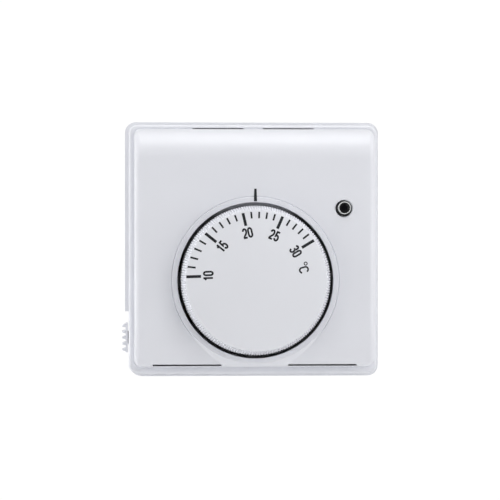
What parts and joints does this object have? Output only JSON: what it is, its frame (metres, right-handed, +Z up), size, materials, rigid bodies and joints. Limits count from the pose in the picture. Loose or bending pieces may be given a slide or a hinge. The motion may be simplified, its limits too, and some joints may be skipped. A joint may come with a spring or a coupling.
{
  "type": "room thermostat",
  "caption": "Square wall-mounted room thermostat: raised vented cover, round setting dial with scale, index line, indicator lens and ribbed side slide switch.",
  "frame": {"origin": "middle of the flat back face that lies on the wall", "axes": "+Z up, front faces -Y, +X to the right as seen from the front"},
  "size_m": [0.0839, 0.037, 0.083],
  "materials": {
    "housing_plastic": "smooth satin moulding",
    "cover_plastic": "satin moulding",
    "dial_plastic": "satin moulding with serrated rim",
    "button_plastic": "satin moulding",
    "bush_plastic": "gloss",
    "lens_plastic": "gloss dark tint",
    "steel": "zinc plated",
    "spring_steel": "drawn wire",
    "brass": "turned",
    "capsule_metal": "pressed sheet",
    "contact_metal": "tinned",
    "switch_plastic": "moulded phenolic",
    "plunger_plastic": "moulded",
    "terminal_plastic": "moulded",
    "lamp_glass": "clear glass",
    "lamp_resistor_body": "lacquered",
    "heat_resistor_body": "lacquered",
    "wire_brown": "insulation",
    "wire_black": "insulation",
    "wire_blue": "insulation"
  },
  "bodies": {
    "housing": {"rear_housing": "housing_plastic", "front_cover": "cover_plastic", "cover_screw": "steel", "limit_pins": "cover_plastic", "spindle_bush": "brass", "bridge_frame": "steel", "bridge_screws": "steel", "capsule_shell": "capsule_metal", "capsule_diaphragm": "capsule_metal", "capsule_nut": "steel", "lever_pin": "steel", "lever_bracket": "steel", "bracket_screw": "steel", "microswitch_case": "switch_plastic", "microswitch_lid": "switch_plastic", "snap_blade": "contact_metal", "fixed_contact": "contact_metal", "microswitch_tags": "brass", "microswitch_screws": "steel", "terminal_block": "terminal_plastic", "terminal_clamps": "brass", "terminal_screws": "steel", "slide_switch_case": "switch_plastic", "slide_switch_tags": "brass", "lamp_bush": "bush_plastic", "lamp_lens": "lens_plastic", "neon_lamp": "lamp_glass", "lamp_leads": "contact_metal", "lamp_resistor": "lamp_resistor_body", "heat_resistor": "heat_resistor_body", "wire_live": "wire_brown", "wire_switched": "wire_black", "wire_common": "wire_blue", "wire_lamp": "wire_blue"},
    "dial": {"dial_knob": "dial_plastic", "dial_spindle": "brass", "spindle_clip": "steel"},
    "range_nut": {"range_nut": "brass", "range_spring": "spring_steel"},
    "capsule_hub": {"capsule_hub": "capsule_metal"},
    "lever": {"switch_lever": "steel", "trim_screw": "brass"},
    "plunger": {"microswitch_plunger": "plunger_plastic"},
    "slide_button": {"slide_knob": "button_plastic", "slide_switch_contact": "contact_metal"}
  },
  "joints": [
    {"name": "dial_turn", "type": "hinge", "parent": "housing", "child": "dial", "pos_m": [0, -0.03, -0.0098], "axis": [0, -1, 0], "range_deg": [-86.8, 56.4]},
    {"name": "nut_travel", "type": "slide", "parent": "housing", "child": "range_nut", "axis": [0, 1, 0], "range_m": [-0.0005, 0.00033], "deforming": ["range_spring"]},
    {"name": "capsule_expand", "type": "slide", "parent": "housing", "child": "capsule_hub", "axis": [0, -1, 0], "range_m": [-0.00015, 0.0003], "stiffness_N_per_m": 800, "deforming": ["capsule_diaphragm"]},
    {"name": "lever_rock", "type": "hinge", "parent": "housing", "child": "lever", "pos_m": [0, -0.0124, -0.0283], "axis": [1, 0, 0], "range_deg": [-0.55, 1.1]},
    {"name": "plunger_travel", "type": "slide", "parent": "housing", "child": "plunger", "axis": [0, -1, 0], "range_m": [-0.0004, 0.0008], "deforming": ["snap_blade"]},
    {"name": "switch_slide", "type": "slide", "parent": "housing", "child": "slide_button", "axis": [0, 0, 1], "range_m": [0, 0.003]}
  ],
  "couplings": [
    {"joint": "nut_travel", "follows": "dial_turn", "m_per_rad": 0.00031831},
    {"joint": "lever_rock", "follows": "capsule_expand", "rad_per_m": 54.054},
    {"joint": "plunger_travel", "follows": "capsule_expand", "ratio": 2.1892}
  ]
}
